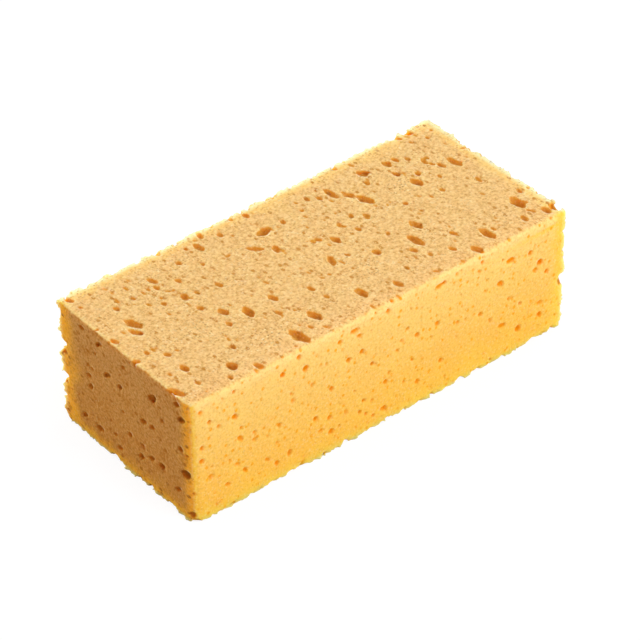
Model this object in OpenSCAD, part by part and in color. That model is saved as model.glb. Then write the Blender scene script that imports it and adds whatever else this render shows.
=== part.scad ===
// Cleaning sponge: one cut block of open-celled foam.
// Millimetres. The origin is the middle of the base, +X runs along the length,
// the front long face looks to -Y and +Z is up.
// Every pore is a short row of round cells, so a long pore is a chain of cells.
// The pores of the top, the front and the left end are set one by one, those of the back and the
// right end are strewn, and the base is left flat, so that the block lies still on it.

/* [Block] */
// Length of the block
block_length = 180; // [140:1:230]
// Width of the block
block_width = 80; // [60:1:110]
// Height of the block
block_height = 56; // [40:1:75]
// Radius of the soft upright edge at the front left corner
soft_edge = 4; // [1:0.5:8]
// Radius along the top of the front face
long_edge = 1.8; // [0.6:0.2:4]
// Radius of the other edges
crisp_edge = 0.5; // [0.3:0.1:1.5]

/* [Pores] */
// Strewn pores on each 100 square millimetres of surface
pores_per_area = 0.42; // [0.1:0.02:0.5]
// Narrowest strewn pore
pore_min = 1.6; // [1.4:0.1:2]
// Widest strewn pore
pore_max = 3.4; // [2.4:0.1:4]
// Length of a strewn pore against its width, on the right end
end_stretch = 1.4; // [1:0.05:2]
// Size of every pore set by hand, against the one listed
set_scale = 1; // [0.8:0.05:1.2]
// How far a cell's centre lies under the surface, against its radius
cell_sink = 0.15; // [0:0.05:0.4]
// Seed of the strewn pores
pore_seed = 7; // [1:1:9]

/* [Hidden] */

// The five faces that have pores, by number
TOP = 0;
FRONT = 1;
LEFT = 2;
BACK = 3;
RIGHT = 4;
FACE_COUNT = 5;

half = [block_length / 2, block_width / 2];

// Places of the pores set by hand are given on a block of this size, and follow the real one
pattern = [180, 80, 56];
fit = [block_length / pattern.x, block_width / pattern.y, block_height / pattern.z];

// Widest spacing of the cells in a chain and their step from side to side, against the pore's width
cell_pitch = 0.52;
cell_stagger = 0.08;
// Strewn pores may lie this far past a face's upper and side rims, where they notch the edge
rim_reach = 0.8;
// Most that a strewn pore turns from level
grain_sway = 15;
// Seeds used by one face
seeds_per_face = 4;
cell_facets = 16;
corner_facets = 5;
overlap = 1;

// Pores set by hand: [along, across, width, length, turn], from the face's lower left corner as
// seen from outside. The turn of the length is in degrees, anticlockwise from up. One with no
// length is round. Those with a place at 0 or at the face's full size notch its edge.
top_pores = [
    [84, 64, 4.4, 7.4, 100], [118.7, 66.3, 3, 9, 3], [136.4, 68.7, 3.8, 5.4, 20],
    [126.4, 54.9, 3.8, 9.4, 17], [123.3, 61.1, 3, 5.8, 25], [13.3, 50.7, 3.8, 8.8, 17],
    [10.8, 46.6, 2.8, 6.4, 20], [37, 51.3, 3.6, 4.4, 0], [33.7, 66.7, 2.6, 6, 17],
    [59.3, 72, 3, 6.6, 5], [74.8, 57.6, 2.6, 8.4, 45], [80.7, 52.4, 2.9, 5.6, -17],
    [147.6, 67.3, 3.3, 5.2, 10], [152, 67.3, 2.4, 4.6, 10], [160, 59.4, 2.4, 5.6, -15],
    [148.7, 50.8, 3.8, 6.6, 10], [168.7, 51.3, 3.4, 8.4, 10], [101.3, 42.4, 3.4, 5.6, 10],
    [42.4, 35.3, 3.3, 5.6, 12], [49.3, 29.4, 3.8, 7.6, -8], [61.3, 30, 2.9, 5.6, 10],
    [92, 33.7, 3, 7, -17], [108, 26.7, 3.2, 4.2, 15], [130.4, 30.2, 3.6, 7.2, 10],
    [124, 22.7, 3.7, 9.6, 7], [12, 18.7, 3, 5, 0], [25.6, 8.8, 4, 5.2, 0], [33, 2.6, 2.6, 5.4, 17],
    [54.6, 6.4, 4.2, 11.6, 8], [66.3, 12.2, 3.9, 7.8, 12], [88, 11.4, 3.6, 7, -3],
    [101.6, 6.8, 2.9, 5.6, 10], [137.7, 3.8, 3.5, 6.4, 12], [147.3, 8.6, 3.8, 9.4, 5],
    [164.3, 6.7, 2.6, 5, -10], [169.3, 16, 4.8, 8.8, 0], [174.3, 5.3, 3.6, 5.4, 0],
    [1.8, 10, 3.2, 9.2, 18], [0.6, 32.8, 3, 4.6, 70], [7, 34.3, 2, 4, -15], [3.5, 77, 2.4, 5, 17],
    [13, 80, 2, 4, 10], [36, 80, 2.4, 4, 10], [45, 79, 1.8, 5, 5], [64, 77.5, 2.2, 6, -10],
    [79, 78.5, 1.8, 5, 10], [85, 76, 2.6, 4, 10], [130.5, 79.5, 2.2, 5, 0], [162, 78, 2, 6, 30],
    [167.5, 79, 3.4, 6, 10], [178.5, 56, 1.8, 6, 70], [180, 42.5, 2, 3.4, 90], [178.5, 5, 4.6, 6, 0],
    [70, 72.7, 2.3, 3.4, 10], [47.6, 69, 2.3, 3.4, 10], [32.4, 62.3, 2.4, 3.8, 5],
    [13.7, 61.7, 2.3, 3.6, 10], [22, 62.7, 2, 3.2, 10], [29.4, 63.4, 1.7, 3, 0],
    [41, 60.6, 2.4, 3.8, 15], [36.3, 57.2, 1.7, 1.9, 0], [54, 62.7, 1.9, 2.6, 0],
    [64.3, 60.7, 1.8, 3.6, 90], [93.3, 64, 2.2, 3.8, -20], [103.3, 65, 2],
    [109.3, 69.3, 2.3, 3.6, 15], [113.3, 66.8, 2.3, 3.6, 15], [120, 46.7, 2.3, 4, 15],
    [115.3, 50.3, 2.2, 3.8, -35], [108.2, 48.7, 1.9, 4, -15], [96.3, 46.8, 2.2, 4.2, 20],
    [112, 42, 2.3, 3.6, 10], [133.7, 62.6, 2.4, 3.6, -10], [156, 64.7, 2.3, 3.4, 15],
    [146.3, 59.6, 2.6, 3.4, 10], [163.3, 53, 2.4, 5, 8], [152.7, 54.7, 2.4, 3.6, -15],
    [158, 48, 1.9, 3.2, -15], [152.7, 40.7, 2.2, 3.6, 15], [136.3, 43, 2.4, 2.6, 0],
    [168, 36.7, 2, 5.2, -5], [171.4, 70.6, 1.9, 3, 0], [118.7, 32.7, 2.3, 2.8, -20],
    [119.3, 18.7, 2.5, 4.2, 15], [137.6, 17, 2.4, 4.8, 15], [174.8, 21, 2, 4.2, -5],
    [151, 9.4, 1.9, 3.8, 0], [131, 10, 2.3, 4.6, 15], [122.4, 12.7, 2.3, 2.8, 0],
    [110.4, 12, 2.2, 2.6, 0], [76.7, 18, 2, 3.4, 10], [75.3, 25.3, 2.2, 4.6, 10],
    [57.3, 22, 2.3, 4, 20], [61, 8, 1.9, 3.8, 0], [39.6, 28.3, 2.4, 3.8, 0], [51, 49, 2.4, 4.8, 10],
    [42, 50.4, 1.9, 3.8, 5], [28.7, 53, 2.2, 3.4, 5], [37.3, 42.3, 2.5, 3.4, 15], [2, 47, 2.3, 5, 15],
    [12, 28.7, 2.3, 4, 20], [6, 19.3, 1.6, 3.4, 0], [10.7, 9.3, 2, 3.8, 0], [21.3, 4, 2, 3.4, -10],
    [32.4, 17, 2.3, 3.6, 15], [170, 8, 1.9, 3.4, 0]
];
front_pores = [
    [4.7, 50.7, 2.2], [8.4, 44.3, 2.2], [19.7, 40.7, 2.6, 3.4, 60], [41.7, 48.3, 2.6],
    [52.3, 45.6, 3], [75.3, 51, 2.4, 5, 90], [77.6, 47.6, 2.4, 2.8, 90], [78.7, 39.6, 2.5],
    [72.3, 39, 2.5], [21.7, 29.6, 2.4, 3.4, 40], [39.6, 26, 2.2], [56.3, 19.7, 2.5], [63.7, 9.7, 2.7],
    [44, 10.4, 2.6, 3, 0], [89.3, 6.8, 2.7, 4.2, 60], [90, 19.3, 2.5], [95.7, 31.3, 2],
    [116, 51, 2.4, 5, 90], [152, 45.4, 2.8, 5.4, 80], [147, 36.8, 2.8, 3.8, 55], [162, 44, 2.4],
    [167.3, 37, 3.2], [165, 34.4, 2.4, 3.4, 70], [148.4, 16, 2.3, 5, 80], [157, 10.2, 3.2],
    [168, 17.3, 2.2, 4, 80], [168, 11.6, 2.6], [105.6, 11.2, 2.5], [179, 23, 4, 6, 0],
    [12.4, 40.4, 1.9], [49.3, 52.4, 2.5], [55, 36.4, 2, 2.4, 0], [62, 42.7, 1.8], [68.4, 49.3, 2.4],
    [91.3, 52, 2.2, 3, 0], [100.7, 39, 2], [97.7, 35, 1.8], [105.3, 33.7, 2.4], [115.3, 34, 2.4],
    [124.7, 52.4, 2], [125.6, 29.3, 2], [137, 27.3, 2.3], [139.3, 37, 2], [136, 48, 1.8, 3.2, 30],
    [171, 31, 2.4], [142, 22, 2], [117.3, 15.3, 2.4], [91.7, 23, 1.8], [83.3, 14, 1.8],
    [70.7, 15.3, 1.8, 3, 0], [63, 16.7, 2.4], [58.8, 12.8, 1.9, 3.2, 90], [38, 8.8, 2.3],
    [33.6, 12.8, 2.3, 2.8, 60], [38.4, 18.3, 1.8], [46, 34, 2, 3, 0], [28, 25.6, 2],
    [8, 19.3, 2, 3.6, 80], [4.4, 28.4, 2.4], [4.7, 34.3, 2.3], [20, 18.3, 2.3, 2.8, 80],
    [23.3, 14, 2.1], [15.3, 11.3, 2.1, 3, 70], [64, 30, 2.3]
];
left_pores = [
    [57.2, 45.5, 3.6, 5.8, -60], [50.9, 30.6, 2.6, 5, -65], [56.3, 31.3, 2.2, 4, -65],
    [49.7, 18, 2.2, 3.2, 60], [54.8, 15.6, 2.6, 4, -60], [61, 16, 3, 4.2, -70],
    [48.4, 12.2, 2.6, 4.4, -65], [41.8, 18.5, 2.4, 3.2, -60], [75.5, 21.7, 4, 5.2, -60],
    [73, 32, 2.8, 3.2, -60], [70.5, 11.3, 2.8, 3.6, -50], [74.2, 46.3, 3, 5.4, -65],
    [70.9, 52, 2.6, 4.4, -70], [62.6, 38.4, 1.9, 3.2, -70], [29.7, 38.8, 2.4, 5.2, -60],
    [37.2, 38, 2.4, 3.6, -60], [17.4, 36.2, 2, 2.4, -60], [17.6, 31.3, 2.2, 3.6, -70],
    [18.2, 26.4, 2.6, 3.8, -50], [24.7, 50.5, 2.4, 4.6, -70], [13.8, 52, 2, 4.4, -80],
    [40, 49, 1.8, 3.2, -65], [22.6, 8.8, 2.6, 5.2, -65], [34.7, 7.4, 2.4, 4.6, -70],
    [13.2, 9.6, 2.2, 4, -65], [22.6, 44.6, 1.7, 2, 0], [32.6, 12.6, 1.8, 3.2, -70],
    [1.5, 33.5, 3, 7, 80], [1, 19.3, 3, 5, 75], [78, 3.6, 3.4]
];

function face_corner(face) = [
    [-half.x, -half.y, block_height],
    [-half.x, -half.y, 0],
    [-half.x, half.y, 0],
    [half.x, half.y, 0],
    [half.x, -half.y, 0]
][face];

function face_turn(face) = [
    [0, 0, 0],
    [90, 0, 0],
    [90, 0, -90],
    [90, 0, 180],
    [90, 0, 90]
][face];

function face_size(face) =
    face == TOP ? [block_length, block_width]
    : face == FRONT || face == BACK ? [block_length, block_height]
    : [block_width, block_height];

function face_fit(face) =
    face == TOP ? [fit.x, fit.y] : face == FRONT ? [fit.x, fit.z] : [fit.y, fit.z];

// The grain runs along the width of the block, so pores are longer where an end is cut
function grain_length(face) = face == LEFT || face == RIGHT ? end_stretch : 1;

// A quarter of a circle, from the angle that is given
function corner_arc(centre, r, from) = [
    for (i = [0 : corner_facets])
        let (angle = from + 90 * i / corner_facets)
            centre + r * [cos(angle), sin(angle)]
];

// Rectangle from low to high with its own radius at each corner, anticlockwise from the lower left
function soft_rectangle(low, high, r) = concat(
    corner_arc([low.x + r[0], low.y + r[0]], r[0], 180),
    corner_arc([high.x - r[1], low.y + r[1]], r[1], 270),
    corner_arc([high.x - r[2], high.y - r[2]], r[2], 0),
    corner_arc([low.x + r[3], high.y - r[3]], r[3], 90)
);

// Put children on a face: x to the right and y up as seen from outside, z out of the block
module on_face(face) {
    translate(face_corner(face)) rotate(face_turn(face)) children();
}

// One pore: a chain of round cells that together fill an ellipse of the width and length given.
// A circle centred x along an ellipse's long axis touches it from inside at the radius used here.
module pore(width, length, turn) {
    focus = sqrt(max(pow(length, 2) - pow(width, 2), 0)) / 2;
    reach = 2 * pow(focus, 2) / length;
    gaps = ceil(2 * reach / (cell_pitch * width));
    rotate([0, 0, turn])
        if (gaps == 0)
            cell(width / 2, 0, 0);
        else
            for (i = [0 : gaps]) {
                along = (2 * i / gaps - 1) * reach;
                aside = (i % 2 - 0.5) * cell_stagger * width;
                cell(width / 2 * sqrt(1 - pow(along / focus, 2)), aside, along);
            }
}

// One cell: its centre lies under the surface, and its mouth has the radius given
module cell(mouth_r, aside, along) {
    r = mouth_r / sqrt(1 - pow(cell_sink, 2));
    translate([aside, along, -cell_sink * r]) sphere(r = r, $fn = cell_facets);
}

// The pores of one face that are set by hand
module set_pores(face, rows) {
    scale_to_face = face_fit(face);
    on_face(face)
        for (row = rows)
            translate([row[0] * scale_to_face.x, row[1] * scale_to_face.y, 0])
                if (is_undef(row[3]))
                    pore(row[2] * set_scale, row[2] * set_scale, 0);
                else
                    pore(row[2] * set_scale, row[3] * set_scale, row[4]);
}

// Pores strewn over one upright face, many small ones and a few large. They keep the widest
// pore's width off the base.
module strewn_pores(face) {
    size = face_size(face);
    count = round(pores_per_area * size.x * size.y / 100);
    seed = (pore_seed * FACE_COUNT + face) * seeds_per_face;
    along = rands(-rim_reach, size.x + rim_reach, count, seed);
    across = rands(pore_max, size.y + rim_reach, count, seed + 1);
    grade = rands(0, 1, count, seed + 2);
    turn = rands(90 - grain_sway, 90 + grain_sway, count, seed + 3);
    on_face(face)
        for (i = [0 : count - 1]) {
            width = pore_min + (pore_max - pore_min) * pow(grade[i], 2);
            translate([along[i], across[i], 0]) pore(width, width * grain_length(face), turn[i]);
        }
}

// The cut block before its pores: one outline seen from above, one seen along the length
module cut_block() {
    intersection() {
        linear_extrude(height = block_height)
            polygon(soft_rectangle(-half, half, [soft_edge, crisp_edge, crisp_edge, crisp_edge]));
        translate([-half.x - overlap, 0, 0])
            rotate([90, 0, 90])
                linear_extrude(height = block_length + 2 * overlap)
                    polygon(soft_rectangle([-half.y, 0], [half.y, block_height],
                        [crisp_edge, crisp_edge, crisp_edge, long_edge]));
    }
}

module foam_block() {
    color([0.95, 0.76, 0.44])
        difference() {
            cut_block();
            set_pores(TOP, top_pores);
            set_pores(FRONT, front_pores);
            set_pores(LEFT, left_pores);
            strewn_pores(BACK);
            strewn_pores(RIGHT);
        }
}

foam_block();
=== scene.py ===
"""Cleaning sponge: the finish of one cut block of open-celled foam.

The block's shape and its larger pores come from the CAD node. A distance field is built from
that node, fine cells are carved out of it along the foam's grain, its edges are frayed, and the
result is meshed as one closed piece.
"""
import math

import bpy
import numpy as np
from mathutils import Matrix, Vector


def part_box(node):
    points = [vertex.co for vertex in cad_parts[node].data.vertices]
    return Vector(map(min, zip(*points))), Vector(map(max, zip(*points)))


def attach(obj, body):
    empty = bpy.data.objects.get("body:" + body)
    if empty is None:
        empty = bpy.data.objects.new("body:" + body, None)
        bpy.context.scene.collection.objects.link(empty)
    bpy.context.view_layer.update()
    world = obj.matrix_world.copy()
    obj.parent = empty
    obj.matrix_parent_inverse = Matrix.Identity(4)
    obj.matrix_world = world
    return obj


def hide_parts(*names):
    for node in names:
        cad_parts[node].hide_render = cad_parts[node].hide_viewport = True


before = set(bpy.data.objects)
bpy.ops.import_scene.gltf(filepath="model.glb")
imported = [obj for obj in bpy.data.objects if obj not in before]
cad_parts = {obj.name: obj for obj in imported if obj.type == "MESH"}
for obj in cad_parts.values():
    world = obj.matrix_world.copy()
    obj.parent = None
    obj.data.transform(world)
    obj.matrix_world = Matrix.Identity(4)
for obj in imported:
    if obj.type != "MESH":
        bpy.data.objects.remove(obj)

import openvdb as vdb
from mathutils import Matrix, Vector

NODE = "foam_block"
SEED = 11
MM = 0.001

# The distance field, in millimetres
VOXEL = 0.4
BAND_VOXELS = 8
MOST_TRIANGLES = 196_000
# How far the surface is grown and shrunk back to close its pores, where their depth is measured,
# and the greatest depth that is measured
CLOSING = 2.8
DEEPEST = 6.0
# How far round a point the open space is counted, where the bulge of the surface is measured
BULGE_REACH = 1.0

# Fine cells: how many on each cubic millimetre, and the share of that away from the top; how thick
# the shell is that they lie in, and how far past the block they are strewn
CELLS_PER_MM3 = 0.045
CELLS_ELSEWHERE = 0.4
CELL_SHELL = 5.0
CELL_MARGIN = 0.3
# Their radii, how fast their number falls with size, their stretch, also near the ends, and how
# far their centres may lie inside and outside the surface, in radii
CELL_RADIUS = (0.45, 0.9)
CELL_FALLOFF = 3.2
CELL_STRETCH = (1.6, 2.8)
CELL_STRETCH_ENDS = (1.0, 1.6)
CELL_SINK = (-0.45, 0.55)
# The grain's lean from the width of the block, and how far it sways
GRAIN_LEAN = math.radians(17)
GRAIN_SWAY = math.radians(12)

# Pores of the top slant: how far they shift to the front on each millimetre down, the depths
# between which that fades out again, and how far from the front and back faces it sets in
SLANT = 0.35
SLANT_FADE = (3.5, 7.0)
SLANT_MARGIN = 8.0

# Larger pores in the base: how many on each square millimetre, their radii and their height
BASE_PORES_PER_MM2 = 0.004
BASE_PORE_RADIUS = (0.8, 1.8)
BASE_PORE_LEVEL = (-0.4, 0.2)

# Notches in the base's rim: place along the edge, width, depth and lean, in millimetres and degrees
FRONT_NOTCHES = (
    (12, 1.6, 1.4, 0), (49, 2.4, 4.5, 25), (59.5, 3.4, 1.5, 0), (70, 2.0, 2.4, 10), (91, 2.2, 2.0, 0),
    (99, 1.8, 1.5, 0), (107.5, 1.8, 2.0, 0), (113, 2.4, 2.2, 0), (128, 4.0, 1.6, 0), (137, 1.8, 1.5, 0),
    (164.5, 3.6, 1.5, 0), (175, 2.4, 2.5, 0),
)
LEFT_NOTCHES = ((12, 2.0, 1.4, 0), (31.5, 4.4, 1.7, 0), (53.5, 2.8, 2.0, 0), (67.5, 1.8, 1.4, 0))
# Bites out of the other edges: place from the left, front and base, and radius, in millimetres
BITES = ((1.5, 0, 0, 2.0), (160.8, 80, 56, 2.1), (180, 53, 56, 1.8))
BITE_STRETCH = 1.2
# Tears in the upright edge between the left end and the back: height, width and depth
TEARS = ((37.5, 2.8, 4.4), (22.0, 2.6, 4.0), (11.5, 1.8, 2.0))
# They slope down through the foam: their way, the shares of the depth at which a cell is cut,
# how much of the inward step they follow that way, how they narrow, and their least stretch
TEAR_WAY = (0.5, 0.6, -0.62)
TEAR_STEPS = (0.0, 0.4, 0.8)
TEAR_SLOPE = 0.8
TEAR_TAPER = 0.4
TEAR_STRETCH = 1.2

# Widths of the bands of painted glow beside the edges, where light that comes through the thin
# foam is painted in as paler, yellower colour, in millimetres: on each kind of side, next to the
# left end, the right end, the front, the back, the base and the top
GLOW_BANDS = {
    "ends": (0, 0, 6.5, 10.0, 6.0, 0),
    "long": (3.0, 7.0, 0, 0, 5.0, 0),
    "flat": (0, 7.0, 0, 7.0, 0, 0),
}

# Frayed edges: how deep they are worn and how far they stand out, and the strength of the noise
# from which each sets in; the wavelengths of that noise with the strength of each
EDGE_WEAR = 1.0
EDGE_WEAR_FROM = 0.4
EDGE_GROWTH = 0.45
EDGE_GROWTH_FROM = 0.6
EDGE_WAVES = ((0.9, 0.9), (1.7, 0.9), (3.6, 0.9))
# How far in from an edge the wear reaches; how near the back, the right end or the base an edge
# is fully ragged, and the share of the wear on the other edges
EDGE_REACH = 1.3
EDGE_RAGGED_WITHIN = 3.0
EDGE_CALM = 0.35

# Space between the sides on the map of the surface, in millimetres
MAP_GAP = 4.0

# Patterns of the colour and the relief, in features on each metre
SPOT_SCALE = 300.0
SMUDGE_SCALE = 240.0
BLOTCH_SCALE = 60.0
MOTTLE_SCALE = 900.0
PATCH_SCALE = 90.0
HOLE_SCALE = 1050.0
RELIEF_SCALE = 1100.0
# How strongly each pattern tints the foam, where it is strongest
SPOT_SHARE = 0.9
SMUDGE_SHARE = 0.6
# the painted highlight on the bulging rims
RIM_HIGHLIGHT_SHARE = 0.3
BLOTCH_SHARE = 0.3
# Patches of the top where the painted shade in the fine holes is darker: along and across from the
# middle, and the radii where they end and where they are strongest, in metres
SPECKLED = ((-0.062, -0.007), (-0.045, -0.027), (0.008, -0.022), (0.052, 0.012))
SPECKLED_OUTER = 0.010
SPECKLED_INNER = 0.002

# The view: round the object, above it, and tilted; lens and distance in lengths of the block
AZIMUTH = math.radians(-38.93)
ELEVATION = math.radians(38.40)
ROLL = math.radians(-0.83)
LENS = 161.1
SENSOR = 36.0
VIEW_LENGTHS = 6.015
AIM_RIGHT = 0.006
AIM_UP = -0.015
CLIP = (0.01, 20.0)

# The lamps: direction from the block, size in metres and power in watts
LAMPS = {
    "key": ((0.25, -0.90, 0.35), 0.6, 7.7),
    "top": ((-0.05, -0.30, 0.94), 0.7, 6.0),
    "back": ((-0.12, 0.95, 0.28), 0.7, 9.6),
    "right": ((0.93, 0.30, 0.20), 0.7, 5.4),
    "left": ((-0.95, 0.25, 0.20), 0.7, 2.9),
}
LAMP_DISTANCE = 1.2
WORLD_LIGHT = 0.25
# The floor: its size, how pale it is as it lights the block, and, as the camera sees it, how
# much of it takes the shadow and how much is an even glow
FLOOR_SIZE = 6.0
FLOOR_PALE = 0.75
FLOOR_SHADE = 0.14
FLOOR_GLOW = 0.89


# ---------------------------------------------------------------- distance field

def node_surface(name):
    """Points in millimetres, in the row frame, and triangles of a CAD node."""
    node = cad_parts[name]
    mesh = node.data
    points = np.empty(len(mesh.vertices) * 3, np.float32)
    mesh.vertices.foreach_get("co", points)
    world = np.array(node.matrix_world)
    points = points.reshape(-1, 3) @ world[:3, :3].T + world[:3, 3]
    mesh.calc_loop_triangles()
    triangles = np.empty(len(mesh.loop_triangles) * 3, np.int32)
    mesh.loop_triangles.foreach_get("vertices", triangles)
    return points / MM, triangles.reshape(-1, 3)


class Field:
    """Signed distance on a regular grid: below 0 inside the foam."""

    def __init__(self, points, triangles):
        self.transform = vdb.createLinearTransform(voxelSize=VOXEL)
        level = vdb.FloatGrid.createLevelSetFromPolygons(
            points,
            triangles=triangles.astype(np.uint32),
            transform=self.transform,
            halfWidth=BAND_VOXELS,
        )
        self.low = np.floor(points.min(0) / VOXEL).astype(int) - BAND_VOXELS
        high = np.ceil(points.max(0) / VOXEL).astype(int) + BAND_VOXELS
        self.values = np.empty(tuple(high - self.low), np.float32)
        level.copyToArray(self.values, ijk=self.corner())

    def corner(self):
        """The lowest grid point, counted in voxels from the origin."""
        return tuple(int(v) for v in self.low)

    def axis(self, number):
        """Coordinates of the grid along one axis, in millimetres."""
        count = self.values.shape[number]
        return ((self.low[number] + np.arange(count)) * VOXEL).astype(np.float32)

    def at(self, places):
        """Values at the nearest grid points."""
        index = np.rint(places / VOXEL).astype(int) - self.low
        index = np.clip(index, 0, np.array(self.values.shape) - 1)
        return self.values[index[:, 0], index[:, 1], index[:, 2]]

    def carve(self, place, radius, stretch, grain):
        """Take away one cell: an ellipsoid that is long along the grain."""
        reach = radius * stretch + 2 * VOXEL
        first = np.maximum(np.floor((place - reach) / VOXEL).astype(int) - self.low, 0)
        last = np.ceil((place + reach) / VOXEL).astype(int) + 1 - self.low
        last = np.minimum(last, self.values.shape)
        if np.any(first >= last):
            return
        steps = [
            ((self.low[k] + np.arange(first[k], last[k])) * VOXEL - place[k]).astype(np.float32)
            for k in range(3)
        ]
        x, y, z = np.meshgrid(*steps, indexing="ij", sparse=True)
        along = x * grain[0] + y * grain[1] + z * grain[2]
        square = x * x + y * y + z * z
        squeezed = np.sqrt(square - along**2 * (1 - 1 / stretch**2))
        window = self.values[first[0]:last[0], first[1]:last[1], first[2]:last[2]]
        np.maximum(window, radius - squeezed, out=window)

    def smooth(self):
        """Round off the steps of the grid."""
        for axis in range(3):
            beside = np.roll(self.values, 1, axis) + np.roll(self.values, -1, axis)
            self.values = 0.5 * self.values + 0.25 * beside

    def surface(self, offset=0.0):
        """Points in millimetres and quads of the surface, or of one that lies offset outside it."""
        grid = vdb.FloatGrid(BAND_VOXELS * VOXEL)
        grid.transform = self.transform
        grid.copyFromArray(self.values, ijk=self.corner())
        points, _, quads = grid.convertToPolygons(offset, 0.0)
        return points, quads

    def closed_depth(self):
        """Depth below the block as it would be with its pores closed, as an array like values."""
        points, quads = self.surface(CLOSING)
        reach = int((CLOSING + DEEPEST) / VOXEL)
        level = vdb.FloatGrid.createLevelSetFromPolygons(
            points,
            quads=quads.astype(np.uint32),
            transform=self.transform,
            halfWidth=reach,
        )
        depth = np.empty_like(self.values)
        level.copyToArray(depth, ijk=self.corner())
        return -CLOSING - depth

    def bulge(self):
        """Share of open space round each point, less a half: positive on rims, negative in hollows."""
        share = np.clip(0.5 + self.values / VOXEL, 0, 1)
        steps = max(1, round(BULGE_REACH / VOXEL))
        for axis in range(3):
            shifted = (np.roll(share, step, axis) for step in range(-steps, steps + 1))
            share = sum(shifted) / (2 * steps + 1)
        return share - 0.5

    def sample(self, values, places):
        """Values between the grid points, at places in millimetres."""
        at = places / VOXEL - self.low
        first = np.clip(np.floor(at).astype(int), 0, np.array(values.shape) - 2)
        share = (at - first).astype(np.float32)
        total = np.zeros(len(places), np.float32)
        for corner in np.ndindex(2, 2, 2):
            weight = np.prod(np.where(corner, share, 1 - share), axis=1)
            i, j, k = (first + corner).T
            total += weight * values[i, j, k]
        return total


def lattice_noise(shape, wave, rng):
    """Smooth noise with a spread of about 1, and features of wave millimetres."""
    cell = wave / VOXEL
    values = rng.standard_normal([int(n / cell) + 3 for n in shape]).astype(np.float32)
    for axis, n in enumerate(shape):
        at = np.arange(n) / cell
        step = at.astype(int)
        blend = (at - step).astype(np.float32)
        blend = blend * blend * (3 - 2 * blend)
        blend = blend.reshape([-1 if k == axis else 1 for k in range(3)])
        here = np.take(values, step, axis=axis)
        after = np.take(values, step + 1, axis=axis)
        values = here * (1 - blend) + after * blend
    return values


def grain_way(lean, rise):
    """Direction of the grain: along the width of the block, leaning to one side and up."""
    return (math.sin(lean) * math.cos(rise), -math.cos(lean) * math.cos(rise), math.sin(rise))


def slant_pores(field, low, high):
    """Shear the foam under the top, so that each pore's back wall slopes and its front wall hides."""
    y = field.axis(1)
    inner = np.clip(np.minimum(y - low[1], high[1] - y) / SLANT_MARGIN, 0, 1)
    start, end = SLANT_FADE
    for k, z in enumerate(field.axis(2)):
        down = high[2] - z
        if not 0 < down < end:
            continue
        shift = SLANT * down * min(1.0, (end - down) / (end - start))
        at = np.minimum(np.arange(len(y)) + shift * inner / VOXEL, len(y) - 2)
        first = at.astype(int)
        share = (at - first).astype(np.float32)
        layer = field.values[:, :, k]
        field.values[:, :, k] = layer[:, first] * (1 - share) + layer[:, first + 1] * share


def carve_cells(field, low, high, rng):
    """Strew fine cells wherever they break through the surface, on faces and in the larger pores."""
    count = int(CELLS_PER_MM3 * np.prod(high - low))
    places = rng.uniform(low - CELL_MARGIN, high + CELL_MARGIN, (count, 3))
    depth = np.minimum(places - low, high - places).min(1)
    smallest, largest = CELL_RADIUS
    spread = 1 - (smallest / largest) ** CELL_FALLOFF
    radii = smallest * (1 - rng.random(count) * spread) ** (-1 / CELL_FALLOFF)
    by_ends = np.minimum(places[:, 0] - low[0], high[0] - places[:, 0]) < CELL_SHELL
    round_cells = rng.uniform(*CELL_STRETCH_ENDS, count)
    long_cells = rng.uniform(*CELL_STRETCH, count)
    stretch = np.where(by_ends, round_cells, long_cells)
    lean = GRAIN_LEAN + rng.normal(0, GRAIN_SWAY, count)
    rise = rng.normal(0, GRAIN_SWAY, count)
    near = field.at(places) / radii
    kept = (depth < CELL_SHELL) & (near > CELL_SINK[0]) & (near < CELL_SINK[1])
    kept &= (high[2] - places[:, 2] < CELL_SHELL) | (rng.random(count) < CELLS_ELSEWHERE)
    for k in np.flatnonzero(kept):
        field.carve(places[k], radii[k], stretch[k], grain_way(lean[k], rise[k]))


def carve_base(field, low, high, rng):
    """Strew larger pores over the base, which the solid leaves flat."""
    count = int(BASE_PORES_PER_MM2 * (high[0] - low[0]) * (high[1] - low[1]))
    for _ in range(count):
        x, y = rng.uniform(low[:2], high[:2])
        z = low[2] + rng.uniform(*BASE_PORE_LEVEL)
        lean = GRAIN_LEAN + rng.normal(0, GRAIN_SWAY)
        radius = rng.uniform(*BASE_PORE_RADIUS)
        stretch = rng.uniform(*CELL_STRETCH)
        field.carve(np.array([x, y, z]), radius, stretch, grain_way(lean, 0.0))


def carve_rim(field, low, high):
    """Cut the notches in the base's rim, under the front face and under the left end."""
    def notch(place, side, width, depth, lean):
        turn = math.radians(lean)
        grain = math.cos(turn) * np.array([0, 0, 1]) + math.sin(turn) * np.array(side)
        field.carve(np.array(place), width / 2, 2 * depth / width, grain)

    for along, width, depth, lean in FRONT_NOTCHES:
        notch((low[0] + along, low[1], low[2]), (1, 0, 0), width, depth, lean)
    for along, width, depth, lean in LEFT_NOTCHES:
        notch((low[0], high[1] - along, low[2]), (0, -1, 0), width, depth, lean)


def carve_wear(field, low, high):
    """Open the bites and the tears in the edges."""
    for *place, radius in BITES:
        field.carve(low + place, radius, BITE_STRETCH, (0, 0, 1))
    way = np.array(TEAR_WAY) / np.linalg.norm(TEAR_WAY)
    for height, width, depth in TEARS:
        for share in TEAR_STEPS:
            inward = share * depth
            radius = width / 2 * (1 - TEAR_TAPER * share)
            mouth = np.array([low[0], high[1] - inward, low[2] + height])
            field.carve(mouth + TEAR_SLOPE * inward * way, radius, TEAR_STRETCH + inward / radius, way)


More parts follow.
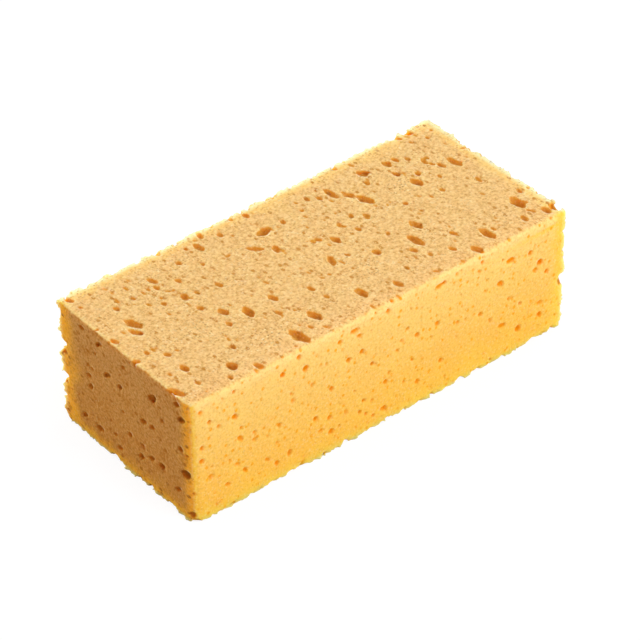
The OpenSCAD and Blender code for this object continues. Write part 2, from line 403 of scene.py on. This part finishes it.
def fray(field, low, high, rng):
    """Wear the edges of the block, and let them stand out a little in between."""
    shape = field.values.shape
    inset = []
    for k in range(3):
        at = field.axis(k)
        gap = np.maximum(np.minimum(at - low[k], high[k] - at), 0)
        inset.append(gap.reshape([-1 if j == k else 1 for j in range(3)]))
    x, y, z = inset
    edge_gap = np.maximum(np.minimum(x, y), np.minimum(np.maximum(x, y), z))
    near_edge = np.exp(-(edge_gap / EDGE_REACH) ** 2)
    right = high[0] - field.axis(0).reshape(-1, 1, 1)
    back = high[1] - field.axis(1).reshape(1, -1, 1)
    base = field.axis(2).reshape(1, 1, -1) - low[2]
    ragged = np.minimum(np.minimum(right, back), base) < EDGE_RAGGED_WITHIN
    near_edge = near_edge * np.where(ragged, 1.0, EDGE_CALM)
    waves = sum(strength * lattice_noise(shape, wave, rng) for wave, strength in EDGE_WAVES)
    wear = EDGE_WEAR * np.maximum(waves - EDGE_WEAR_FROM, 0)
    growth = EDGE_GROWTH * np.maximum(-waves - EDGE_GROWTH_FROM, 0)
    field.values += near_edge * (wear - growth)
    under = (low[2] - field.axis(2)).reshape(1, 1, -1)
    np.maximum(field.values, under, out=field.values)


# ---------------------------------------------------------------- mesh

def largest_shell(points, quads):
    """Only the largest connected surface: no crumbs, and no bubbles shut inside."""
    label = np.arange(len(points))
    first = quads.ravel()
    second = np.roll(quads, -1, axis=1).ravel()
    while True:
        least = np.minimum(label[first], label[second])
        before = label.copy()
        np.minimum.at(label, label[first], least)
        np.minimum.at(label, label[second], least)
        label = label[label]
        if np.array_equal(before, label):
            break
    names, counts = np.unique(label, return_counts=True)
    keep = label == names[counts.argmax()]
    renumber = np.cumsum(keep) - 1
    return points[keep], renumber[quads[keep[quads[:, 0]]]]


def make_mesh(name, points, polygons):
    """A mesh in metres from points in millimetres and polygons that all have as many corners."""
    corners_each = polygons.shape[1]
    mesh = bpy.data.meshes.new(name)
    mesh.vertices.add(len(points))
    mesh.vertices.foreach_set("co", (points * MM).astype(np.float32).ravel())
    mesh.loops.add(polygons.size)
    mesh.loops.foreach_set("vertex_index", polygons.astype(np.int32).ravel())
    mesh.polygons.add(len(polygons))
    starts = np.arange(0, polygons.size, corners_each, dtype=np.int32)
    mesh.polygons.foreach_set("loop_start", starts)
    mesh.update(calc_edges=True)
    mesh.validate()
    return mesh


def apply_modifiers(piece):
    """Put the piece's modified shape in its mesh."""
    seen = piece.evaluated_get(bpy.context.evaluated_depsgraph_get())
    mesh = bpy.data.meshes.new_from_object(seen)
    piece.modifiers.clear()
    piece.data = mesh


def vertex_places(mesh):
    """The vertices, in millimetres."""
    places = np.empty(len(mesh.vertices) * 3, np.float32)
    mesh.vertices.foreach_get("co", places)
    return places.reshape(-1, 3) / MM


def write_values(mesh, name, values):
    """Keep a number at each vertex, for the material."""
    layer = mesh.attributes.get(name) or mesh.attributes.new(name, "FLOAT", "POINT")
    layer.data.foreach_set("value", np.ascontiguousarray(values, dtype=np.float32))


def thin_out(piece):
    """Bring the mesh under the triangle limit, keeping its detail where it bends."""
    split = piece.modifiers.new("Split", "TRIANGULATE")
    split.quad_method = "SHORTEST_DIAGONAL"
    thin = piece.modifiers.new("Thin", "DECIMATE")
    thin.ratio = min(1.0, MOST_TRIANGLES / (2 * len(piece.data.polygons)))
    apply_modifiers(piece)


def shade(piece):
    """Smooth shading that keeps the flat faces flat right up to the rims of the pores."""
    piece.data.shade_smooth()
    even = piece.modifiers.new("Even", "WEIGHTED_NORMAL")
    even.weight = 50
    apply_modifiers(piece)


def edge_glow_bands(places, low, high):
    """How far into the band of painted glow beside an edge each place is: 1 at the edge and 0 past the
    band.
    """
    left, front, under = (places - low).T
    right, back, over = (high - places).T
    ends = np.minimum(left, right)
    along = np.minimum(front, back)
    flat = np.minimum(under, over)
    beside = np.stack([left, right, front, back, under, over])
    shares = {}
    for kind, widths in GLOW_BANDS.items():
        widths = np.array(widths).reshape(-1, 1)
        within = np.where(widths > 0, 1 - beside / np.maximum(widths, 1e-6), 0)
        shares[kind] = np.clip(within.max(0), 0, 1)
    nearest = np.stack([ends, along, flat]).argmin(0)
    return np.choose(nearest, [shares["ends"], shares["long"], shares["flat"]])


def describe(mesh, field, depth, bulge, low, high):
    """Keep at each vertex what the material needs to know of its place."""
    places = vertex_places(mesh)
    gaps = np.minimum(places - low, high - places)
    write_values(mesh, "depth", field.sample(depth, places))
    write_values(mesh, "bulge", field.sample(bulge, places))
    write_values(mesh, "glow_band", edge_glow_bands(places, low, high))
    write_values(mesh, "rise", (places[:, 2] - low[2]) / (high[2] - low[2]))
    write_values(mesh, "level", np.minimum(gaps[:, 0], gaps[:, 1]) - gaps[:, 2])
    write_values(mesh, "ends", np.minimum(gaps[:, 1], gaps[:, 2]) - gaps[:, 0])


def box_map(mesh, low, high):
    """A map of the surface for pictures of it: the six sides of the block, laid out side by side."""
    length, width, height = high - low
    across = length + width + 2 * MAP_GAP
    rows = np.cumsum([0, width + MAP_GAP, width + MAP_GAP, height + MAP_GAP])
    corner_of = {
        (2, 1): (0, rows[0]), (2, -1): (0, rows[1]), (1, -1): (0, rows[2]), (1, 1): (0, rows[3]),
        (0, -1): (length + MAP_GAP, rows[0]), (0, 1): (length + MAP_GAP, rows[1]),
    }
    places = vertex_places(mesh)
    loops = np.empty(len(mesh.loops), np.int32)
    mesh.loops.foreach_get("vertex_index", loops)
    corners_each = len(loops) // len(mesh.polygons)
    middles = places[loops].reshape(-1, corners_each, 3).mean(1)
    gaps = np.concatenate([middles - low, high - middles], axis=1)
    side = gaps.argmin(1)
    uv = np.zeros((len(loops), 2), np.float32)
    for number in range(6):
        axis, outward = number % 3, -1 if number < 3 else 1
        u, v = [k for k in range(3) if k != axis]
        at = np.repeat(side == number, corners_each)
        start = np.array(corner_of[axis, outward])
        uv[at] = start + MAP_GAP / 2 + places[loops[at]][:, [u, v]] - low[[u, v]]
    layer = mesh.uv_layers.new(name="OFBake")
    layer.uv.foreach_set("vector", (uv / across).ravel())


def foam_piece(name, points, polygons, material):
    """An object that rides on the part's one body."""
    piece = bpy.data.objects.new(name, make_mesh(name, points, polygons))
    bpy.context.scene.collection.objects.link(piece)
    piece.data.materials.append(material)
    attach(piece, "root")
    return piece


def foam_block():
    """The block in its foam finish, in place of the CAD node."""
    rng = np.random.default_rng(SEED)
    points, triangles = node_surface(NODE)
    field = Field(points, triangles)
    low, high = (np.array(corner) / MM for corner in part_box(NODE))
    slant_pores(field, low, high)
    depth = field.closed_depth()
    carve_cells(field, low, high, rng)
    carve_base(field, low, high, rng)
    carve_rim(field, low, high)
    carve_wear(field, low, high)
    field.smooth()
    fray(field, low, high, rng)
    bulge = field.bulge()

    skin = foam_piece("foam_skin", *largest_shell(*field.surface()), foam_material())
    thin_out(skin)
    shade(skin)
    describe(skin.data, field, depth, bulge, low, high)
    box_map(skin.data, low, high)
    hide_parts(NODE)


# ---------------------------------------------------------------- material

class Nodes:
    """A short way to write the node tree of a material or a world."""

    def __init__(self, owner):
        owner.use_nodes = True
        self.tree = owner.node_tree
        self.tree.nodes.clear()

    def add(self, kind, inputs=(), **settings):
        node = self.tree.nodes.new(kind)
        for key, value in settings.items():
            setattr(node, key, value)
        for key, value in dict(inputs).items():
            self.feed(node.inputs[key], value)
        return node

    def feed(self, socket, value):
        if isinstance(value, bpy.types.NodeSocket):
            self.tree.links.new(value, socket)
        else:
            socket.default_value = value

    def math(self, operation, a, b=0.0, clamp=False):
        node = self.add("ShaderNodeMath", operation=operation, use_clamp=clamp)
        self.feed(node.inputs[0], a)
        self.feed(node.inputs[1], b)
        return node.outputs[0]

    def ramp(self, value, stops, smooth=True):
        node = self.add("ShaderNodeValToRGB", {"Fac": value})
        node.color_ramp.interpolation = "EASE" if smooth else "LINEAR"
        elements = node.color_ramp.elements
        while len(elements) < len(stops):
            elements.new(1.0)
        for element, (place, colour) in zip(elements, stops):
            element.position = place
            element.color = colour
        return node.outputs["Color"]

    def seen(self):
        """1 for what the camera sees, also in a gloss or through glass, and 0 for light on things."""
        path = self.add("ShaderNodeLightPath")
        seen = self.math("MAXIMUM", path.outputs["Is Camera Ray"], path.outputs["Is Glossy Ray"])
        return self.math("MAXIMUM", seen, path.outputs["Is Transmission Ray"])

    def shader_mix(self, share, a, b):
        return self.add("ShaderNodeMixShader", {0: share, 1: a, 2: b}).outputs[0]

    def vector_math(self, operation, a, b):
        return self.add("ShaderNodeVectorMath", {0: a, 1: b}, operation=operation).outputs

    def value(self, name):
        """A number that is kept at each vertex."""
        return self.add("ShaderNodeAttribute", attribute_name=name).outputs["Fac"]

    def span(self, value, start, end):
        """0 at the start and 1 at the end, smoothly."""
        node = self.add("ShaderNodeMapRange", interpolation_type="SMOOTHSTEP")
        settings = (value, min(start, end), max(start, end), float(start > end), float(start < end))
        for socket, setting in zip(node.inputs, settings):
            self.feed(socket, setting)
        return node.outputs["Result"]

    def mix(self, share, a, b, blend="MIX"):
        node = self.add("ShaderNodeMix", data_type="RGBA", blend_type=blend)
        self.feed(node.inputs["Factor"], share)
        self.feed(node.inputs[6], a)
        self.feed(node.inputs[7], b)
        return node.outputs[2]

    def near(self, where, places, outer, inner):
        """1 within inner metres of any of the places on the top, and 0 past outer metres."""
        total = 0.0
        for x, y in places:
            flat = self.vector_math("MULTIPLY", where, (1.0, 1.0, 0.0))["Vector"]
            gap = self.vector_math("DISTANCE", flat, (x, y, 0.0))["Value"]
            total = self.math("MAXIMUM", self.span(gap, outer, inner), total)
        return total

    def cells(self, where, scale):
        """How far the nearest of many scattered points is, and the random numbers of that point."""
        cells = self.add("ShaderNodeTexVoronoi", {"Vector": where, "Scale": scale}, feature="F1")
        chance = self.add("ShaderNodeSeparateColor", {"Color": cells.outputs["Color"]})
        return cells.outputs["Distance"], chance.outputs

    def spots(self, where, scale, radius, core):
        """Scattered soft spots, along the grain; radius and core in terms of their spacing."""
        along = self.add("ShaderNodeMapping", {
            "Vector": where,
            "Rotation": (0.0, 0.0, GRAIN_LEAN),
            "Scale": (1.15, 0.75, 1.0),
        })
        distance, chance = self.cells(along.outputs[0], scale)
        spot = self.span(distance, radius, core)
        return self.math("MULTIPLY", spot, self.span(chance[0], 0.1, 0.55))

    def noise(self, where, scale, detail=2.0, roughness=0.5):
        return self.add("ShaderNodeTexNoise", {
            "Vector": where,
            "Scale": scale,
            "Detail": detail,
            "Roughness": roughness,
        }).outputs["Fac"]


def linear(r, g, b):
    """A colour as seen on a screen, 0 to 255, in linear light."""
    def one(v):
        v /= 255
        return v / 12.92 if v <= 0.04045 else ((v + 0.055) / 1.055) ** 2.4
    return (one(r), one(g), one(b), 1.0)


def grey(value):
    """A grey in linear light, or white for 1."""
    return (value, value, value, 1.0)


class Site:
    """What the material knows of each point: its depth, its side, and the band of painted glow beside
    an edge.
    """

    def __init__(self, n):
        self.n = n
        self.place = n.add("ShaderNodeTexCoord").outputs["Object"]
        self.depth = n.value("depth")
        self.bulge = n.value("bulge")
        self.level = n.span(n.value("level"), -0.5, 1.5)
        self.ends = n.span(n.value("ends"), -0.8, 0.8)
        self.glow_band = n.value("glow_band")
        self.rise = n.value("rise")

    def by_side(self, sides, flat, shaded_ends):
        """One of three colours: for the long sides; for the top and the base, paler, partly a painted
        sheen; and for the ends, a darker copy that is painted shade.
        """
        return self.n.mix(self.ends, self.n.mix(self.level, sides, flat), shaded_ends)


def skin_colour(n, site):
    """The cut surface, with painted light and shade: a painted glow beside the edges, where light comes
    through; painted shade low on the long sides; a darker, shaded copy on the ends; a paler top, partly
    painted sheen.
    """
    # Painted shade on the long sides: darker and deeper orange low down, paler towards the top edge
    painted_shade_by_height = [
        (0.0, linear(251, 186, 64)), (0.4, linear(251, 190, 86)),
        (0.9, linear(252, 202, 112)), (1.0, linear(254, 212, 138)),
    ]
    sides = n.ramp(site.rise, painted_shade_by_height, smooth=False)
    # Painted glow beside the edges of the long sides
    sides = n.mix(n.span(site.glow_band, 0.0, 0.6), sides, linear(254, 198, 74))
    sides = n.mix(n.span(site.glow_band, 0.6, 0.95), sides, linear(255, 214, 118))
    # The ends: a darker copy of the foam's colour, painted shade, with painted glow beside their edges
    shaded_ends = n.mix(site.rise, linear(195, 127, 54), linear(202, 140, 74))
    shaded_ends = n.mix(n.span(site.glow_band, 0.0, 0.6), shaded_ends, linear(244, 166, 48))
    shaded_ends = n.mix(n.span(site.glow_band, 0.65, 0.95), shaded_ends, linear(255, 206, 118))
    # The top and base: paler, partly a painted sheen, with painted glow beside the edges
    flat = n.mix(n.span(site.glow_band, 0.0, 0.6), linear(242, 196, 128), linear(254, 208, 124))
    flat = n.mix(n.span(site.glow_band, 0.5, 0.9), flat, linear(255, 238, 184))
    return site.by_side(sides, flat, shaded_ends)


def pore_colour(n, site):
    """The walls of the pores, painted shade: darker further in, paler on the long sides where light
    falls in, darker on the ends.
    """
    shade_in_depth = n.span(site.depth, 0.2, 2.8)
    sides = n.mix(shade_in_depth, linear(248, 168, 16), linear(240, 150, 6))
    flat = n.mix(shade_in_depth, linear(230, 164, 66), linear(206, 122, 24))
    shaded_ends = n.mix(shade_in_depth, linear(199, 121, 33), linear(184, 105, 24))
    return site.by_side(sides, flat, shaded_ends)


def share_inside(n, site):
    """0 on the skin and 1 in a pore; the rims are softer on the long sides."""
    sharp = n.span(site.depth, 0.1, 0.55)
    soft = n.span(site.depth, 0.1, 1.1)
    return n.mix(n.math("MAXIMUM", site.level, site.ends), soft, sharp)


def add_spots(n, site, body):
    """Soft spots along the grain, smudges on the ends, and a painted highlight on the rims of the top.
    """
    spots = n.math("MULTIPLY", n.spots(site.place, SPOT_SCALE, 0.32, 0.16), SPOT_SHARE)
    spot = site.by_side(linear(246, 160, 12), linear(200, 132, 50), linear(168, 96, 24))
    body = n.mix(spots, body, spot)
    smudge = n.span(n.noise(site.place, SMUDGE_SCALE, 3.0, 0.6), 0.52, 0.68)
    smudge = n.math("MULTIPLY", smudge, n.math("MULTIPLY", site.ends, SMUDGE_SHARE))
    body = n.mix(smudge, body, linear(177, 105, 31))
    # Painted highlight: paler foam where the surface bulges out, mostly on the top
    rim = n.span(site.bulge, 0.08, 0.24)
    rim = n.math("MULTIPLY", rim, n.math("MULTIPLY", site.level, RIM_HIGHLIGHT_SHARE))
    return n.mix(rim, body, linear(255, 228, 168))


def add_grain(n, site, body, open_skin):
    """Broad blotches, and a fine mottle of darker and lighter foam."""
    blotch = n.noise(site.place, BLOTCH_SCALE, 3.0)
    shades = n.ramp(blotch, [(0.3, (0.90, 0.88, 0.86, 1.0)), (0.7, grey(1.0))])
    body = n.mix(BLOTCH_SHARE, body, shades, "MULTIPLY")
    mottle = n.noise(site.place, MOTTLE_SCALE, 2.0, 0.6)
    on_level = n.math("MULTIPLY", site.level, 0.27)
    grainy = n.math("MAXIMUM", on_level, n.math("MULTIPLY", site.ends, 0.3))
    dark = n.math("MULTIPLY", n.span(mottle, 0.5, 0.34), n.math("ADD", grainy, 0.3))
    dark = n.math("MULTIPLY", dark, open_skin)
    dark = n.math("MULTIPLY", dark, n.span(site.glow_band, 0.9, 0.0))
    # On the ends, the mottle is darker too, as part of their painted shade
    body = n.mix(dark, body, n.mix(site.ends, linear(206, 150, 80), linear(163, 105, 49)))
    light = n.math("MULTIPLY", n.span(mottle, 0.5, 0.66), n.math("ADD", on_level, 0.25))
    light = n.math("MULTIPLY", light, open_skin)
    return n.mix(light, body, n.mix(site.ends, linear(255, 222, 158), linear(226, 181, 116)))


def add_holes(n, site, body, open_skin):
    """Holes and flecks too fine to carve, denser in patches: the holes darker with painted shade, the
    flecks paler as painted glints; also how far each point is in a hole.
    """
    distance, chance = n.cells(site.place, HOLE_SCALE)
    spot = n.span(distance, 0.6, 0.25)
    hole = n.math("MULTIPLY", spot, n.span(chance[0], 0.3, 0.8))
    painted_glint = n.math("MULTIPLY", spot, n.span(chance[1], 0.7, 0.9))
    patches = n.span(n.noise(site.place, PATCH_SCALE, 2.0), 0.35, 0.65)
    patches = n.math("ADD", n.math("MULTIPLY", patches, 0.6), 0.4)
    speckled = n.near(site.place, SPECKLED, SPECKLED_OUTER, SPECKLED_INNER)
    strength = n.math("ADD", n.math("MULTIPLY", site.level, 0.4), 0.25)
    strength = n.math("MULTIPLY", strength, patches)
    strength = n.math("ADD", strength, n.math("MULTIPLY", speckled, 0.2), clamp=True)
    strength = n.math("MULTIPLY", strength, open_skin)
    hole_shade = site.by_side(linear(238, 158, 52), linear(196, 136, 66), linear(161, 103, 45))
    hole_shade = n.mix(speckled, hole_shade, linear(172, 118, 58))
    body = n.mix(n.math("MULTIPLY", hole, strength), body, hole_shade)
    pale = n.mix(site.ends, linear(255, 230, 176), linear(226, 183, 119))
    return n.mix(n.math("MULTIPLY", painted_glint, strength), body, pale), hole


def foam_material():
    """Open-celled foam: its colour, its fine relief, and the light that soaks through it."""
    material = bpy.data.materials.new("foam")
    n = Nodes(material)
    site = Site(n)
    inside = share_inside(n, site)
    open_skin = n.math("SUBTRACT", 1.0, n.math("MULTIPLY", inside, 0.8))
    body = n.mix(inside, skin_colour(n, site), pore_colour(n, site))
    body = add_spots(n, site, body)
    body = add_grain(n, site, body, open_skin)
    body, hole = add_holes(n, site, body, open_skin)
    grain = n.noise(site.place, RELIEF_SCALE, 3.0, 0.6)
    height = n.math("SUBTRACT", n.math("MULTIPLY", grain, 0.6), n.math("MULTIPLY", hole, 0.6))
    relief = n.add("ShaderNodeBump", {"Height": height, "Strength": 0.7, "Distance": 0.0004})
    shader = n.add("ShaderNodeBsdfPrincipled", {
        "Base Color": body,
        "Roughness": n.math("ADD", n.math("MULTIPLY", grain, 0.2), 0.7),
        "Normal": relief.outputs["Normal"],
        "Subsurface Weight": 1.0,
        "Subsurface Radius": (1.0, 0.9, 0.75),
        "Subsurface Scale": 0.006,
        "Specular IOR Level": 0.0,
    })
    n.add("ShaderNodeOutputMaterial", {"Surface": shader.outputs["BSDF"]})
    return material


# ---------------------------------------------------------------- stage

def camera(length, height):
    """The view of the block, for a block of the length and height given."""
    back = Vector((
        math.sin(AZIMUTH) * math.cos(ELEVATION),
        -math.cos(AZIMUTH) * math.cos(ELEVATION),
        math.sin(ELEVATION),
    ))
    level = Vector((math.cos(AZIMUTH), math.sin(AZIMUTH), 0.0))
    above = back.cross(level)
    right = math.cos(ROLL) * level + math.sin(ROLL) * above
    up = math.cos(ROLL) * above - math.sin(ROLL) * level
    aim = Vector((0, 0, height / 2)) + length * (AIM_RIGHT * right + AIM_UP * up)
    data = bpy.data.cameras.new("camera")
    data.lens = LENS
    data.sensor_width = SENSOR
    data.clip_start, data.clip_end = CLIP
    view = bpy.data.objects.new("camera", data)
    turn = Matrix((right, up, back)).transposed().to_4x4()
    view.matrix_world = Matrix.Translation(aim + back * length * VIEW_LENGTHS) @ turn
    bpy.context.scene.collection.objects.link(view)
    bpy.context.scene.camera = view


def lamp(name, direction, size, power):
    """A square soft light that looks at the block from a direction."""
    data = bpy.data.lights.new(name, "AREA")
    data.shape = "SQUARE"
    data.size = size
    data.energy = power
    light = bpy.data.objects.new(name, data)
    way = Vector(direction).normalized()
    light.location = way * LAMP_DISTANCE
    light.rotation_mode = "QUATERNION"
    light.rotation_quaternion = way.to_track_quat("Z", "Y")
    bpy.context.scene.collection.objects.link(light)


def floor_material():
    """A pale floor, seen as near white with the block's shadow on it."""
    material = bpy.data.materials.new("floor")
    n = Nodes(material)
    pale = n.add("ShaderNodeBsdfDiffuse", {"Color": grey(FLOOR_PALE)}).outputs["BSDF"]
    faint = n.add("ShaderNodeBsdfDiffuse", {"Color": grey(FLOOR_SHADE)}).outputs["BSDF"]
    glow = n.add("ShaderNodeEmission", {"Color": grey(1.0), "Strength": FLOOR_GLOW})
    white = n.add("ShaderNodeAddShader", {0: faint, 1: glow.outputs["Emission"]}).outputs[0]
    n.add("ShaderNodeOutputMaterial", {"Surface": n.shader_mix(n.seen(), pale, white)})
    return material


def floor():
    """The floor under the block."""
    mesh = bpy.data.meshes.new("floor")
    half = FLOOR_SIZE / 2
    rim = [(-half, -half, 0), (half, -half, 0), (half, half, 0), (-half, half, 0)]
    mesh.from_pydata(rim, [], [(0, 1, 2, 3)])
    mesh.materials.append(floor_material())
    plane = bpy.data.objects.new("floor", mesh)
    bpy.context.scene.collection.objects.link(plane)


def light_the_set():
    """A plain studio: the lamps, and a world that is seen as white and lights the block softly."""
    world = bpy.data.worlds.new("studio")
    bpy.context.scene.world = world
    n = Nodes(world)
    soft = n.add("ShaderNodeBackground", {"Color": grey(1.0), "Strength": WORLD_LIGHT})
    white = n.add("ShaderNodeBackground", {"Color": grey(1.0), "Strength": 1.0})
    both = n.shader_mix(n.seen(), soft.outputs["Background"], white.outputs["Background"])
    n.add("ShaderNodeOutputWorld", {"Surface": both})
    for name, (direction, size, power) in LAMPS.items():
        lamp(name, direction, size, power)


def main():
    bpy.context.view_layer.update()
    low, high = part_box(NODE)
    camera(high[0] - low[0], high[2] - low[2])
    floor()
    light_the_set()
    bpy.context.scene.view_settings.view_transform = "Standard"
    foam_block()


main()
